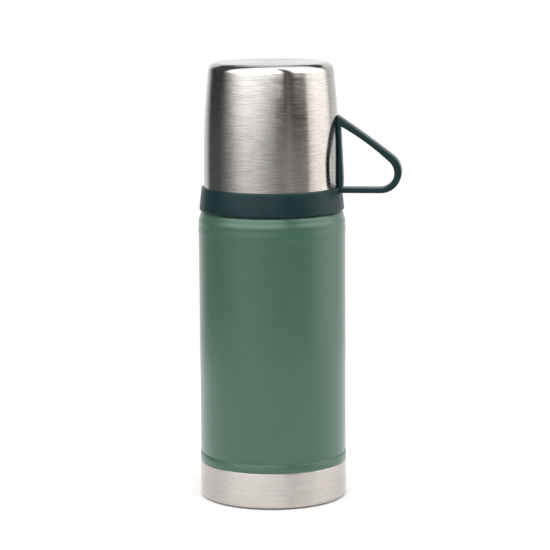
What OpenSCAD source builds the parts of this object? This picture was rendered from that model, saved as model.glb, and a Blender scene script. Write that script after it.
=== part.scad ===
// Vacuum flask with a screw-on drinking cup, a loop handle and a pour-through stopper.
// The origin is at the centre of the base, +Z runs up the flask and the handle lies towards +X.

/* [Flask body] */
// Largest diameter of the flask, at its base band and bead
flask_d = 76; // [75:0.5:78]
// Height of the bare steel base band
band_h = 18.8; // [12:0.2:22]
// Height of the shoulder that the cup's ring stands over
shoulder_z = 149.6; // [146:0.2:150]
// Thickness of the steel walls
steel_t = 0.6; // [0.5:0.05:0.7]
// Inner radius of the mouth
mouth_r = 24.4; // [24.3:0.05:24.5]
// Height of the mouth's lip
lip_z = 168; // [167.8:0.1:168.2]

/* [Cup] */
// Height of the cup's top above the table
cup_top = 225.6; // [215:0.2:235]
// Outer radius of the cup at its ring
cup_r = 34.9; // [34.8:0.05:35]
// How much the cup narrows up to its rounded edge
cup_taper = 2.8; // [1:0.1:4]
// Radius of the cup's rounded edge
cup_edge = 4.6; // [3:0.1:6]
// Height of the ring at the cup's mouth
ring_h = 12; // [11:0.5:13]

/* [Handle] */
// Width of the handle's band
handle_w = 10; // [7:0.5:14]
// Reach of the handle from the flask's axis
handle_reach = 66.9; // [62:0.1:72]
// Height at which the handle's upper arm meets the cup
handle_top = 198.6; // [195:0.1:201]
// Direction of the handle round the flask, in degrees
handle_turn = -6; // [-20:1:20]
// Outer radius of the handle's bend
bend_r = 10.5; // [9:0.1:12]
// Thickness of the handle's band at the bend
bend_t = 3.6; // [2.8:0.1:4]
// Thickness of the handle's lower arm
arm_t = 2.5; // [2:0.1:3]

/* [Threads] */
// Pitch of the cup's and the stopper's threads
pitch = 4; // [4:0.1:4.4]
// Turns of ridge on each thread
ridge_turns = 1.25; // [1:0.25:1.5]

/* [Stopper] */
// Outer radius of the stopper's cap
cap_r = 25.6; // [25.2:0.1:26]
// Height of the cap's top
cap_top = 187; // [186:0.2:188]
// Radius of the push button
button_r = 15; // [14.6:0.1:15]
// How far the button stands above the cap
button_rise = 2.5; // [1:0.1:3.5]
// Radius of the valve's rod
rod_r = 2.5; // [2:0.1:2.6]

/* [Hidden] */
$fn = 96;

body_r = flask_d / 2;
wall_r = body_r - 0.2;            // main wall between the creases
skirt_r = body_r - steel_t - 0.05; // lower end of the shell, inside the base band
coat_z = band_h + 0.95;           // where the coated wall reaches its full radius
crease_z = band_h + 5.3;
bead_z = shoulder_z - 10.2;       // widest height of the soft bead below the shoulder
edge_r = 2;                       // rounding of the base cover's lower edge
neck_r = mouth_r + 2.1;           // outside of the outer neck
neck_bend = 1.5;                  // bend between the shoulder and the neck
groove_r = 26;                    // ring pressed into the underside
groove_d = 1.1;
liner_r = 34;
liner_t = 0.5;
liner_floor = 8.5;
liner_seam = 12.5;
bottom_z = 3.9;                   // underside of the welded outer bottom
bottom_bend = 2;
cushion_t = 2.1;
plug_hole_r = 1.5;                // evacuation hole in the outer bottom
dome_z = 138;                     // start of the liner's dome below the neck
dome_h = 8;
foil_low = 20;
foil_high = 134;

collar_r = 30.6;                  // root of the collar's thread
collar_top = 166.4;
collar_t = 1.6;
ring_z = shoulder_z + 0.4;
ring_top = ring_z + ring_h;
slot_z = ring_z + 2.4;            // where the cup's rim rests in the ring
ring_bore = 32.3;                 // root of the ring's inner thread
ring_lip = 3;                     // height of the spigot inside the cup
gasket_in = 33.1;                 // groove for the cup's gasket
gasket_out = 35.5;
gasket_d = 1.2;
cup_gap = 0.16;                   // room between the handle's leg and the cup
cup_curve = 2.6;                  // how late the cup's wall starts to curve in
leg_t = 1;                        // thickness of the handle's leg beside the cup
arm_bow = 0.8;                    // how far the arm's two edges bow outwards
crown_bow = 0.3;
liner_ridge_z = 157;
collar_ridge_z = 155;
ring_ridge_z = 153;
ridge_h = 1.2;
ridge_root = 2.4;
ridge_tip = 1.4;
ridge_sink = 0.3;
ridge_steps = 48;

plug_r = 22.7;                    // root of the stopper's thread
plug_z = 146;
pour_r = 9;
channel_r = 11.5;
flange_z = lip_z + 1.2;
deck_z = flange_z + 2;            // top of the stopper body, where the cap begins
well_r = 15.2;
well_z = 176;                     // floor of the button's well
well_t = 1.4;
cap_t = 1.6;
floor_t = 1.5;
key_z = 178.5;
key_h = 3;
button_bottom = 181;
coil_r = 8;
wire_r = 0.5;
seal_t = 1.1;
stopper_ridge_z = 155;
rod_top = 186;
plate_z = 143.2;                  // underside of the valve's plate
gland_r = 4.3;                    // pocket of the rod's sealing ring
gland_z = 171.8;
key_in = 18.4;                    // inner and outer radius of the key's frame
key_out = 22.2;
key_w = 11;
key_pad_h = 5.5;
catch_w = 6;
pocket_z = 181.2;                 // centre of the key's spring pocket

// ---- helpers ----
function reversed(list) = [for (i = [len(list) - 1 : -1 : 0]) list[i]];
function at(r, a) = [r * cos(a), r * sin(a)];
function arc(centre, r, a0, a1, n = 6) = [for (i = [0 : n]) centre + at(r, a0 + (a1 - a0) * i / n)];

// A sheet-metal wall: each path point is [radius, height, direction of its outward normal]
function skin(path, t) = [for (p = path) [p[0], p[1]] - at(t, p[2])];
function bend(centre, r, a0, a1, n = 6) =
    [for (i = [0 : n]) let (a = a0 + (a1 - a0) * i / n) concat(centre + at(r, a), a)];
module sheet(path, t) rotate_extrude() polygon(concat(skin(path, 0), reversed(skin(path, t))));

module tube(r_out, r_in, z0, z1) rotate_extrude()
    polygon([[r_in, z0], [r_out, z0], [r_out, z1], [r_in, z1]]);
module disc(r, z0, z1) translate([0, 0, z0]) cylinder(r = r, h = z1 - z0);

// A chain of equal rings joined into one closed solid
module swept(rings) {
    n = len(rings);
    m = len(rings[0]);
    polyhedron(
        points = [for (ring = rings) each ring],
        faces = concat(
            [[for (j = [m - 1 : -1 : 0]) j]],
            [for (i = [0 : n - 2], j = [0 : m - 1])
                let (a = i * m + j, b = i * m + (j + 1) % m) each [[a, b, a + m], [b, b + m, a + m]]],
            [[for (j = [0 : m - 1]) (n - 1) * m + j]]));
}

// One screw ridge on a wall of radius root, up to radius tip, its middle starting at height z0.
// Its foot is sunk in the wall, and both ends run out.
module ridge(root, tip, z0) {
    n = ridge_steps * ridge_turns;
    outside = tip > root;
    foot = outside ? root - ridge_sink : root + ridge_sink;
    swept([for (i = [0 : n])
        let (a = 360 * i / ridge_steps, z = z0 + pitch * i / ridge_steps,
             rise = min(1, (i + 1) / 6, (n - i + 1) / 6), crest = foot + (tip - foot) * rise,
             low = outside ? [foot, ridge_root] : [crest, ridge_tip],
             high = outside ? [crest, ridge_tip] : [foot, ridge_root])
        [for (p = [[low, -0.5], [high, -0.5], [high, 0.5], [low, 0.5]])
            concat(at(p[0][0], a), z + p[1] * p[0][1])]]);
}

// A round wire wound up the Z axis
module coil(mean_r, wire, z0, z1, turns, steps = 20, sides = 6) {
    n = turns * steps;
    swept([for (i = [0 : n])
        let (a = 360 * i / steps, z = z0 + (z1 - z0) * i / n)
        [for (j = [0 : sides - 1])
            let (b = 360 * j / sides, r = mean_r + wire * cos(b))
            [r * cos(a), r * sin(a), z + wire * sin(b)]]]);
}

// ---- flask ----
module outer_shell() color([0.31, 0.47, 0.39]) {
    neck = concat(
        [for (a = [75 : -15 : 0])
            [neck_r + neck_bend * (1 - cos(a)), shoulder_z + neck_bend * (1 - sin(a)), a]],
        [[neck_r, lip_z - steel_t, 0]]);
    shoulder = [
        [body_r - 0.25, bead_z + 3.3, 0], [body_r - 0.18, bead_z + 4.2, 5],
        [body_r - 0.45, shoulder_z - 4.2, 12],
        [body_r - 0.92, shoulder_z - 3, 18], [body_r - 1.15, shoulder_z - 1.8, 22],
        [body_r - 1.65, shoulder_z - 0.6, 40], [body_r - 2.6, shoulder_z, 75],
        [body_r - 4.2, shoulder_z, 90], [neck_r + neck_bend, shoulder_z, 90]];
    sheet(concat(
        [[skirt_r, bottom_z, 0], [skirt_r, band_h - 1, 0], [skirt_r, band_h + 0.05, -40],
         [body_r - 0.1, band_h + 0.1, -50], [body_r, coat_z, 0], [body_r, crease_z - 0.5, 0],
         [wall_r - 0.2, crease_z, 0], [wall_r, crease_z + 0.5, 0],
         [wall_r, bead_z - 2.4, 0], [body_r, bead_z, 0]],
        shoulder, neck), steel_t);
}

module outer_bottom() color("silver") difference() {
    rim_r = skirt_r - steel_t;
    sheet(concat([[0, bottom_z, -90]],
        bend([rim_r - bottom_bend, bottom_z + bottom_bend], bottom_bend, -90, 0, 4),
        [[rim_r, bottom_z + 5, 0]]), steel_t);
    disc(plug_hole_r, bottom_z - 1, bottom_z + 1);
}

module vacuum_plug() color("gray") rotate_extrude()
    polygon([[0, bottom_z], [plug_hole_r, bottom_z], [plug_hole_r, bottom_z + steel_t],
             [plug_hole_r + 0.9, bottom_z + steel_t], [plug_hole_r + 0.3, bottom_z + steel_t + 0.4],
             [0, bottom_z + steel_t + 0.5]]);

module base_cover() color([0.74, 0.72, 0.69]) {
    groove = [for (a = [180 : -45 : 0]) [groove_r + 2 * cos(a), groove_d * sin(a), -90]];
    sheet(concat([[0, 0, -90]], groove, bend([body_r - edge_r, edge_r], edge_r, -90, 0, 6),
        [[body_r, band_h, 0]]), steel_t);
}

module base_cushion() color("dimgray") disc(skirt_r - 2, bottom_z - cushion_t, bottom_z);

module inner_liner() color("gainsboro") {
    neck_out = mouth_r + liner_t;
    sheet(concat(
        [[liner_r, liner_seam, 0]],
        [for (a = [0 : 15 : 75])
            [neck_out + 2 + (liner_r - neck_out - 2) * cos(a), dome_z + dome_h * sin(a), a]],
        [for (a = [75 : -15 : 0]) [neck_out + 2 - 2 * cos(a), dome_z + dome_h + 2 - 2 * sin(a), a]],
        [[neck_out, lip_z - steel_t, 0]]), liner_t);
    tube(neck_r, mouth_r, lip_z - steel_t, lip_z);
    ridge(mouth_r, mouth_r - ridge_h, liner_ridge_z);
}

module inner_bottom() color("gainsboro")
    sheet(concat([[0, liner_floor, -90]], bend([liner_r - 4, liner_floor + 4], 4, -90, 0),
        [[liner_r, liner_seam, 0]]), liner_t);

module copper_foil() color([0.72, 0.45, 0.3]) tube(liner_r + 0.15, liner_r + 0.05, foil_low, foil_high);

module getter() color("dimgray") {
    disc(4.5, liner_floor - 1.6, liner_floor);
    for (a = [0 : 120 : 240]) rotate(a) translate([4.4, -0.8, liner_floor - 1.8]) cube([1.6, 1.6, 1.8]);
}

module neck_collar() color([0.16, 0.24, 0.25]) {
    rib_z = shoulder_z + 2.1;
    difference() {
        tube(collar_r, neck_r + 0.05, shoulder_z + 0.05, collar_top);
        tube(collar_r - collar_t, neck_r + 1.3, shoulder_z - 1, collar_top - collar_t);
        tube(neck_r + 1.6, neck_r - 1, shoulder_z - 1, shoulder_z + 1.7);
    }
    for (a = [0 : 30 : 330]) rotate(a)
        translate([neck_r + 1.2, -0.6, rib_z])
            cube([collar_r - collar_t - neck_r - 1.1, 1.2, collar_top - collar_t + 0.1 - rib_z]);
    ridge(collar_r, collar_r + ridge_h, collar_ridge_z);
}

module collar_gasket() color("black") tube(collar_r - 1.7, neck_r + 1.7, shoulder_z, shoulder_z + 2);

// ---- cup ----
cup_bow = cup_top - cup_edge - ring_top; // height over which the wall curves in
function cup_wall(z) = cup_r - cup_taper * pow(max(0, z - ring_top) / cup_bow, cup_curve);

module cup_shell() color([0.75, 0.74, 0.72]) {
    shoulder_r = cup_wall(ring_top + cup_bow);
    rise = atan(cup_curve * cup_taper / cup_bow);
    steps = 10;
    sheet(concat(
        [[cup_r, slot_z, 0]],
        [for (i = [0 : steps - 1]) let (z = ring_top + cup_bow * i / steps)
            [cup_wall(z), z, rise * pow(i / steps, cup_curve - 1)]],
        bend([shoulder_r - cup_edge * cos(rise), cup_top - cup_edge], cup_edge, rise, 90, 8),
        [[0, cup_top, 90]]), steel_t);
}

// Direction in which a line from point p touches the upper side of a circle
function touch(centre, r, p) = let (to_p = p - centre) atan2(to_p[1], to_p[0]) - acos(r / norm(to_p));

// Outline of the handle in the plane of radius and height
module handle_outline() {
    foot_z = ring_top - 3.2;
    bend_c = [handle_reach - bend_r, foot_z + bend_r];
    hole_r = bend_r - arm_t - 0.2;
    hole_c = [handle_reach - bend_t - hole_r, foot_z + arm_t + hole_r];
    corner = [cup_r + leg_t, handle_top - 5.6];  // upper corner of the finger hole
    meet = [cup_wall(handle_top) + cup_gap, handle_top];
    leg = [for (i = [1 : 8])
        let (z = handle_top + (ring_top - 0.5 - handle_top) * i / 8) [cup_wall(z) + cup_gap, z]];
    outer_touch = touch(bend_c, bend_r, meet);
    hole_touch = touch(hole_c, hole_r, corner);
    bow = (corner + hole_c + at(hole_r, hole_touch)) / 2 + at(arm_bow, hole_touch);
    crown = (meet + bend_c + at(bend_r, outer_touch)) / 2 + at(crown_bow, outer_touch);
    difference() {
        polygon(concat(
            [[cup_r + 0.5, foot_z]], arc(bend_c, bend_r, -90, outer_touch, 16), [crown, meet], leg));
        polygon(concat(
            [[cup_r + leg_t + 0.9, foot_z + arm_t]],
            arc(hole_c, hole_r, -90, hole_touch, 14), [bow, corner]));
    }
}

module handle_ring() color([0.16, 0.24, 0.25]) {
    rotate_extrude() polygon([
        [ring_bore, ring_z + 0.4], [ring_bore + 0.4, ring_z], [gasket_in, ring_z],
        [gasket_in, ring_z + gasket_d], [gasket_out, ring_z + gasket_d], [gasket_out, ring_z],
        [body_r - 1.1, ring_z], [body_r - 0.7, ring_z + 0.4],
        [body_r - 0.75, ring_z + 1], [cup_r + 1.25, ring_top - 0.5], [cup_r + 0.9, ring_top],
        [cup_r, ring_top], [cup_r, slot_z], [cup_r - steel_t, slot_z],
        [cup_r - steel_t, ring_top + ring_lip], [ring_bore + 0.8, ring_top + ring_lip],
        [ring_bore, ring_top + ring_lip - 0.8]]);
    ridge(ring_bore, ring_bore - ridge_h, ring_ridge_z);
    rotate(handle_turn) rotate([90, 0, 0]) translate([0, 0, -handle_w / 2])
        linear_extrude(handle_w) handle_outline();
}

module cup_gasket() color("black")
    tube(gasket_out - 0.1, gasket_in + 0.1, shoulder_z, ring_z + gasket_d - 0.05);

// ---- stopper ----
module stopper_body() color([0.2, 0.22, 0.22]) {
    difference() {
        rotate_extrude() polygon([
            [pour_r, plug_z], [plug_r - 1, plug_z], [plug_r, plug_z + 1], [plug_r, flange_z],
            [mouth_r + 0.15, flange_z], [mouth_r + 0.15, flange_z + 0.8], [neck_r - 0.3, flange_z + 0.8],
            [neck_r - 0.3, flange_z], [neck_r, flange_z], [neck_r, deck_z], [channel_r, deck_z],
            [channel_r, plug_z + 2], [pour_r, plug_z + 2]]);
        tube(plug_r - 1.8, channel_r + 1.5, plug_z + 2, deck_z + 1);
    }
    ridge(plug_r, plug_r + ridge_h, stopper_ridge_z);
}

module stopper_seal() color("gainsboro") tube(neck_r - 0.35, mouth_r + 0.2, lip_z, flange_z + 0.75);

module stopper_foam() color("ivory") tube(plug_r - 1.85, channel_r + 1.55, plug_z + 2.05, deck_z - 1.45);

module cap_shell() rotate_extrude() polygon([
    [cap_r - cap_t, deck_z], [cap_r, deck_z], [cap_r, cap_top - 1.6], [cap_r - 0.5, cap_top - 0.5],
    [cap_r - 1.6, cap_top], [well_r, cap_top], [well_r, well_z], [rod_r + 0.1, well_z],
    [rod_r + 0.1, well_z - floor_t], [gland_r, well_z - floor_t], [gland_r, gland_z],
    [gland_r + 1.5, gland_z], [gland_r + 1.5, well_z - floor_t], [cap_r - cap_t, well_z - floor_t]]);

module foam_cover() color([0.2, 0.22, 0.22]) tube(plug_r - 1.85, channel_r + 1.55, deck_z - 1.4, deck_z);

module stopper_cap() color([0.2, 0.22, 0.22]) {
    difference() {
        cap_shell();
        tube(cap_r - cap_t, well_r + well_t, well_z, cap_top - cap_t);
        for (a = [-50 : 20 : 50]) rotate(a - 90)
            translate([cap_r - 3, -3, deck_z + 0.4]) cube([4, 6, 2.6]);
        translate([-key_w / 2 - 0.3, 21, key_z - 0.3]) cube([key_w + 0.6, 8, key_pad_h + 0.6]);
        translate([-catch_w / 2 - 0.3, -well_r - well_t - 1, key_z - 0.3])
            cube([catch_w + 0.6, well_t + 3, key_h + 0.6]);
    }
    tube(key_in + 1.4, key_in + 0.2, well_z - 0.1, key_z - 0.05);
}

module push_button() color([0.35, 0.38, 0.38]) {
    top = cap_top + button_rise;
    rotate_extrude() polygon([
        [rod_r, button_bottom + 1], [rod_r + 2, button_bottom + 1], [rod_r + 2, top - 2],
        [button_r - 2.6, top - 2], [button_r - 2.6, button_bottom], [button_r, button_bottom],
        [button_r, button_bottom + 0.8], [button_r - 1.2, button_bottom + 0.8],
        [button_r - 1.2, button_bottom + 4.2], [button_r, button_bottom + 4.2], [button_r, top - 1],
        [button_r - 1, top], [button_r - 4, top - 0.1], [0, top - 0.6], [0, rod_top], [rod_r, rod_top]]);
}

module button_spring() color("silver")
    coil(coil_r, wire_r, well_z + wire_r + 0.05, cap_top + button_rise - 2.05 - wire_r, 5);

module valve_stem() color("white") rotate_extrude() polygon([
    [0, plate_z - 0.8], [rod_r - 0.6, plate_z - 0.8], [rod_r, plate_z], [rod_r, rod_top], [0, rod_top]]);

module stem_oring() color("black") rotate_extrude()
    translate([(rod_r + 0.05 + gland_r) / 2, gland_z + 1.2]) circle(r = (gland_r - rod_r - 0.05) / 2);

module valve_plate() color("white") difference() {
    rotate_extrude() polygon([
        [0, plate_z], [pour_r + 0.8, plate_z], [pour_r + 1.6, plate_z + 0.8],
        [pour_r + 1.6, plug_z - seal_t], [0, plug_z - seal_t]]);
    disc(rod_r, plate_z - 1, plug_z);
}

module valve_seal() color("gainsboro") tube(pour_r + 1.6, rod_r, plug_z - seal_t, plug_z);

module release_key() color([0.35, 0.38, 0.38]) difference() {
    union() {
        tube(key_out, key_in, key_z, key_z + key_h);
        translate([-key_w / 2, key_in + 0.4, key_z]) cube([key_w, 27 - key_in - 0.4, key_pad_h]);
        translate([-catch_w / 2, -key_in - 1, key_z]) cube([catch_w, key_in + 1 - button_r - 0.1, key_h]);
    }
    translate([0, key_in - 1, pocket_z]) rotate([-90, 0, 0]) cylinder(r = 2.2, h = 25 - key_in);
}

module key_spring() color("silver") translate([0, 0, pocket_z]) rotate([-90, 0, 0])
    coil(1.6, 0.25, well_r + well_t + 0.35, 22.4, 4, 16);

outer_shell();
outer_bottom();
vacuum_plug();
base_cover();
base_cushion();
inner_liner();
inner_bottom();
copper_foil();
getter();
neck_collar();
collar_gasket();
cup_shell();
handle_ring();
cup_gasket();
stopper_body();
stopper_seal();
stopper_foam();
foam_cover();
stopper_cap();
push_button();
button_spring();
valve_stem();
stem_oring();
valve_plate();
valve_seal();
release_key();
key_spring();
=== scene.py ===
import math

import bpy
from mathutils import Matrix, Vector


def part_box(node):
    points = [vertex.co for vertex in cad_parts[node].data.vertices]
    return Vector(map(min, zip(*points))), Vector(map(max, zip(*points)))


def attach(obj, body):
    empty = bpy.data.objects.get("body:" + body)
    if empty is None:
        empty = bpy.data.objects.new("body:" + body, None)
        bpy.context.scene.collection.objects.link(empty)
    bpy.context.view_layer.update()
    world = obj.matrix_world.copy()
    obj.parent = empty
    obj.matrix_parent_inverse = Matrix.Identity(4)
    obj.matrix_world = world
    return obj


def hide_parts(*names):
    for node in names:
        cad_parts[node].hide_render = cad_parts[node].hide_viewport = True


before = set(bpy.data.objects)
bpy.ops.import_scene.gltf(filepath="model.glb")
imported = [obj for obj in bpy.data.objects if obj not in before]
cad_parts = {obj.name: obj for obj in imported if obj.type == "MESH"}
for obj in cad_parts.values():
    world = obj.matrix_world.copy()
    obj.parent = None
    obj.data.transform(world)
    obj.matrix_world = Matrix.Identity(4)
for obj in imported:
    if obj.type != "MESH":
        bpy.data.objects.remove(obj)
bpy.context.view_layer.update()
mm = 0.001
same = 1e-7      # metres: points this close are in one place
weld = 1e-6      # metres: points this close are merged
print("frame loaded:", len(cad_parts), "nodes")


# ---- modelling helpers ----
def clearSelection():
    if bpy.context.mode != "OBJECT":
        bpy.ops.object.mode_set(mode="OBJECT")
    bpy.ops.object.select_all(action="DESELECT")


def arcPoints(r, z, radius, start, end, steps=6):
    angles = [math.radians(start + (end - start) * i / steps) for i in range(steps + 1)]
    return [(r + radius * math.cos(a), z + radius * math.sin(a)) for a in angles]


def activate(piece):
    clearSelection()
    piece.select_set(True)
    bpy.context.view_layer.objects.active = piece


def pick(piece, wanted):
    # leaves the piece in edit mode with the vertices that pass the test selected
    activate(piece)
    bpy.ops.object.mode_set(mode="EDIT")
    bpy.ops.mesh.select_mode(type="VERT")
    bpy.ops.mesh.select_all(action="DESELECT")
    bpy.ops.object.mode_set(mode="OBJECT")
    for vertex in piece.data.vertices:
        vertex.select = wanted(vertex.co)
    bpy.ops.object.mode_set(mode="EDIT")


def modify(piece, kind, **settings):
    activate(piece)
    bpy.ops.object.modifier_add(type=kind)
    step = piece.modifiers[-1]
    for key, value in settings.items():
        setattr(step, key, value)
    bpy.ops.object.modifier_apply(modifier=step.name)


def settle(piece, smoothAngle=35):
    activate(piece)
    bpy.ops.object.transform_apply(location=True, rotation=True, scale=True)
    bpy.ops.object.shade_smooth_by_angle(angle=math.radians(smoothAngle))
    piece.select_set(False)
    return piece


def joinPieces(name, pieces):
    clearSelection()
    for piece in pieces:
        piece.select_set(True)
    bpy.context.view_layer.objects.active = pieces[0]
    bpy.ops.object.join()
    pieces[0].name = name
    pieces[0].data.name = name
    return pieces[0]


def closeOnAxis(shift):
    # the selected ring is drawn out by shift metres and closed on the axis
    bpy.ops.mesh.extrude_region_move(TRANSFORM_OT_translate={"value": (0, 0, shift)})
    bpy.ops.mesh.merge(type="CENTER")


def weldMesh():
    bpy.ops.mesh.select_all(action="SELECT")
    bpy.ops.mesh.remove_doubles(threshold=weld)
    bpy.ops.mesh.normals_make_consistent(inside=False)
    bpy.ops.object.mode_set(mode="OBJECT")


def turned(name, outline, sides=160, closed=False, wall=0):
    # a ring is extruded and scaled from point to point of an outline of (radius, height), both in mm
    points = [p for p in outline if p[0] > 0]
    r, z = points[0]
    clearSelection()
    bpy.ops.mesh.primitive_circle_add(vertices=sides, radius=r * mm, location=(0, 0, z * mm))
    piece = bpy.context.active_object
    piece.name = name
    bpy.ops.object.transform_apply(location=True)
    bpy.ops.object.mode_set(mode="EDIT")
    bpy.ops.mesh.select_all(action="SELECT")
    path = points[1:] + points[:1] if closed else points[1:]
    for nextR, nextZ in path:
        bpy.ops.mesh.extrude_region_move(TRANSFORM_OT_translate={"value": (0, 0, (nextZ - z) * mm)})
        bpy.ops.transform.resize(value=(nextR / r, nextR / r, 1), center_override=(0, 0, nextZ * mm))
        r, z = nextR, nextZ
    if outline[-1][0] == 0:
        closeOnAxis((outline[-1][1] - z) * mm)
    if outline[0][0] == 0:
        startR, startZ = points[0]
        pick(piece, lambda co: abs(co.z - startZ * mm) < same
             and abs(math.hypot(co.x, co.y) - startR * mm) < same)
        closeOnAxis((outline[0][1] - startZ) * mm)
    weldMesh()
    if wall:
        modify(piece, "SOLIDIFY", thickness=wall * mm, offset=-1, use_even_offset=True)
    return piece


def rounded(ring, width=0.3, segments=3):
    # softens the section's corners, as a mould does
    modify(ring, "BEVEL", width=width * mm, segments=segments, limit_method="ANGLE",
           angle_limit=math.radians(30), harden_normals=False)
    return ring


def wound(piece, turns, rise, steps, sides):
    # a closed loop is wound up the axis, rise in mm, and its two ends are closed
    modify(piece, "SCREW", axis="Z", angle=math.radians(360 * turns), screw_offset=rise * mm,
           steps=steps, render_steps=steps, use_smooth_shade=False, use_merge_vertices=False)
    pick(piece, lambda co: True)
    bpy.ops.mesh.fill_holes(sides=sides)
    bpy.ops.mesh.normals_make_consistent(inside=False)
    bpy.ops.object.mode_set(mode="OBJECT")
    return piece


def boxAt(name, low, high, turn=0.0):
    # a block between two corners, in mm, then turned about the axis
    clearSelection()
    centre = [(a + b) / 2 * mm for a, b in zip(low, high)]
    bpy.ops.mesh.primitive_cube_add(size=1, location=centre)
    block = bpy.context.active_object
    block.name = name
    block.scale = [(b - a) * mm for a, b in zip(low, high)]
    bpy.ops.object.transform_apply(location=True, scale=True)
    block.rotation_euler = (0, 0, math.radians(turn))
    bpy.ops.object.transform_apply(rotation=True)
    return block


def combine(piece, other, operation):
    modify(piece, "BOOLEAN", operation=operation, object=other, solver="EXACT")
    bpy.data.objects.remove(other)
    pick(piece, lambda co: True)
    bpy.ops.mesh.remove_doubles(threshold=2 * weld)
    bpy.ops.mesh.dissolve_degenerate(threshold=2 * weld)
    bpy.ops.object.mode_set(mode="OBJECT")


# ---- shader helpers ----
class Wire:
    # one socket of a material, so that shader maths reads as Python
    def __init__(self, shader, socket):
        self.shader = shader
        self.socket = socket

    def __add__(self, other):
        return self.shader.maths("ADD", self, other)

    def __radd__(self, other):
        return self.shader.maths("ADD", other, self)

    def __sub__(self, other):
        return self.shader.maths("SUBTRACT", self, other)

    def __mul__(self, other):
        return self.shader.maths("MULTIPLY", self, other)

    def __rmul__(self, other):
        return self.shader.maths("MULTIPLY", other, self)

    def __pow__(self, other):
        return self.shader.maths("POWER", self, other)


class Shader:
    # one material or world being wired
    def __init__(self, owner):
        owner.use_nodes = True
        self.owner = owner
        self.tree = owner.node_tree
        self.tree.nodes.clear()

    def node(self, kind, settings=None, inputs=None, output=0):
        made = self.tree.nodes.new(kind)
        for key, value in (settings or {}).items():
            if key == "stops":
                ramp = made.color_ramp
                while len(ramp.elements) < len(value):
                    ramp.elements.new(0.5)
                for element, (place, colour) in zip(ramp.elements, value):
                    element.position = place
                    element.color = colour
            else:
                setattr(made, key, value)
        for key, value in (inputs or {}).items():
            if isinstance(value, Wire):
                self.tree.links.new(value.socket, made.inputs[key])
            else:
                made.inputs[key].default_value = value
        return Wire(self, made.outputs[output]) if output is not None else made

    def maths(self, operation, first, second=0.0):
        return self.node("ShaderNodeMath", {"operation": operation}, {0: first, 1: second})

    def split(self, vector):
        parts = self.node("ShaderNodeSeparateXYZ", {}, {0: vector}, None)
        return [Wire(self, socket) for socket in parts.outputs]

    def vector(self, x, y, z):
        return self.node("ShaderNodeCombineXYZ", {}, {0: x, 1: y, 2: z})

    def place(self):
        return self.node("ShaderNodeTexCoord", {}, {}, "Object")

    def noise(self, vector, scale=1, detail=3, roughness=0.5):
        return self.node("ShaderNodeTexNoise", {}, {"Vector": vector, "Scale": scale, "Detail": detail,
                                                    "Roughness": roughness})

    def spread(self, value, low, high, toLow=0, toHigh=1):
        limits = {"Value": value, "From Min": low, "From Max": high, "To Min": toLow, "To Max": toHigh}
        return self.node("ShaderNodeMapRange", {"interpolation_type": "SMOOTHSTEP"}, limits)

    def tint(self, share, first, second):
        return self.node("ShaderNodeMix", {"data_type": "RGBA"}, {0: share, 6: first, 7: second}, 2)

    def bump(self, height, depth, strength=1):
        return self.node("ShaderNodeBump", {}, {"Height": height, "Distance": depth, "Strength": strength})

    def surface(self, inputs):
        skin = self.node("ShaderNodeBsdfPrincipled", {}, inputs)
        self.node("ShaderNodeOutputMaterial", {}, {"Surface": skin}, None)
        return self.owner


def newShader(name):
    return Shader(bpy.data.materials.new(name))


def dress(piece, finish):
    piece.data.materials.clear()
    piece.data.materials.append(finish)


def fit(piece, body, nodes, finish):
    dress(piece, finish)
    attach(piece, body)
    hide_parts(*nodes)


# ---- finishes ----
steelLook = {
    "tone": (0.61, 0.593, 0.575, 1), "shadeTone": (0.42, 0.403, 0.386, 1), "contrast": (0.34, 0.66),
    "roughness": 0.135, "grainRough": 0.22, "cloudRough": 0.1, "cloudScale": 45, "anisotropic": 0.8,
    "streakLength": 120, "streakFineness": 2700, "coarseShare": 0.6, "fineShare": 0.4,
    # the last two entries paint shade at the foot: up to that height in metres the colour darkens toward the
    # floor, standing in for the contact shadow; 0 leaves it off
    "depth": 0.00005, "bumpiness": 0.3, "paintedShadowZ": 0, "paintedShadowTone": (0.05, 0.045, 0.042, 1),
}


def brushedSteel(name, look):
    s = newShader(name)
    x, y, z = s.split(s.place())
    radius = (x * x + y * y) ** 0.5
    along = z - radius                       # runs up a wall and on across a flat top
    long, fineness = look["streakLength"], look["streakFineness"]
    coarse = s.noise(s.vector(x * long, y * long, along * fineness), 1, 4, 0.6)
    fine = s.noise(s.vector(x * long * 3, y * long * 3, along * fineness * 3.5), 1, 3, 0.7)
    cloud = s.noise(s.vector(x, y, z * 2), look["cloudScale"], 2, 0.5)
    grain = coarse * look["coarseShare"] + fine * look["fineShare"]
    tone = s.tint(s.spread(grain, *look["contrast"]), look["shadeTone"], look["tone"])
    # painted shade: the colour darkens toward the floor in the lowest part, standing in for the contact
    # shadow under the rounded bottom edge
    if look["paintedShadowZ"]:
        tone = s.tint(s.spread(z, 0.2 * look["paintedShadowZ"], look["paintedShadowZ"]), look["paintedShadowTone"], tone)
    patches = (grain - 0.5) * look["grainRough"]
    return s.surface({
        "Base Color": tone, "Metallic": 1.0, "Anisotropic": look["anisotropic"], "Anisotropic Rotation": 0.25,
        "Roughness": look["roughness"] + patches + (cloud - 0.5) * look["cloudRough"],
        "Normal": s.bump(grain, look["depth"], look["bumpiness"]),
    })


coatLook = {
    "tone": (0.0415, 0.116, 0.0765, 1), "lightTone": (0.0440, 0.1205, 0.0800, 1),
    "roughness": 0.29, "grainRough": 0.1, "cloudRough": 0.03, "cloudScale": 60, "grainScale": 2600,
    "depth": 0.00002, "bumpiness": 0.5, "specular": 0.58, "sheen": 0.36, "sheenRoughness": 0.35,
}


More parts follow.
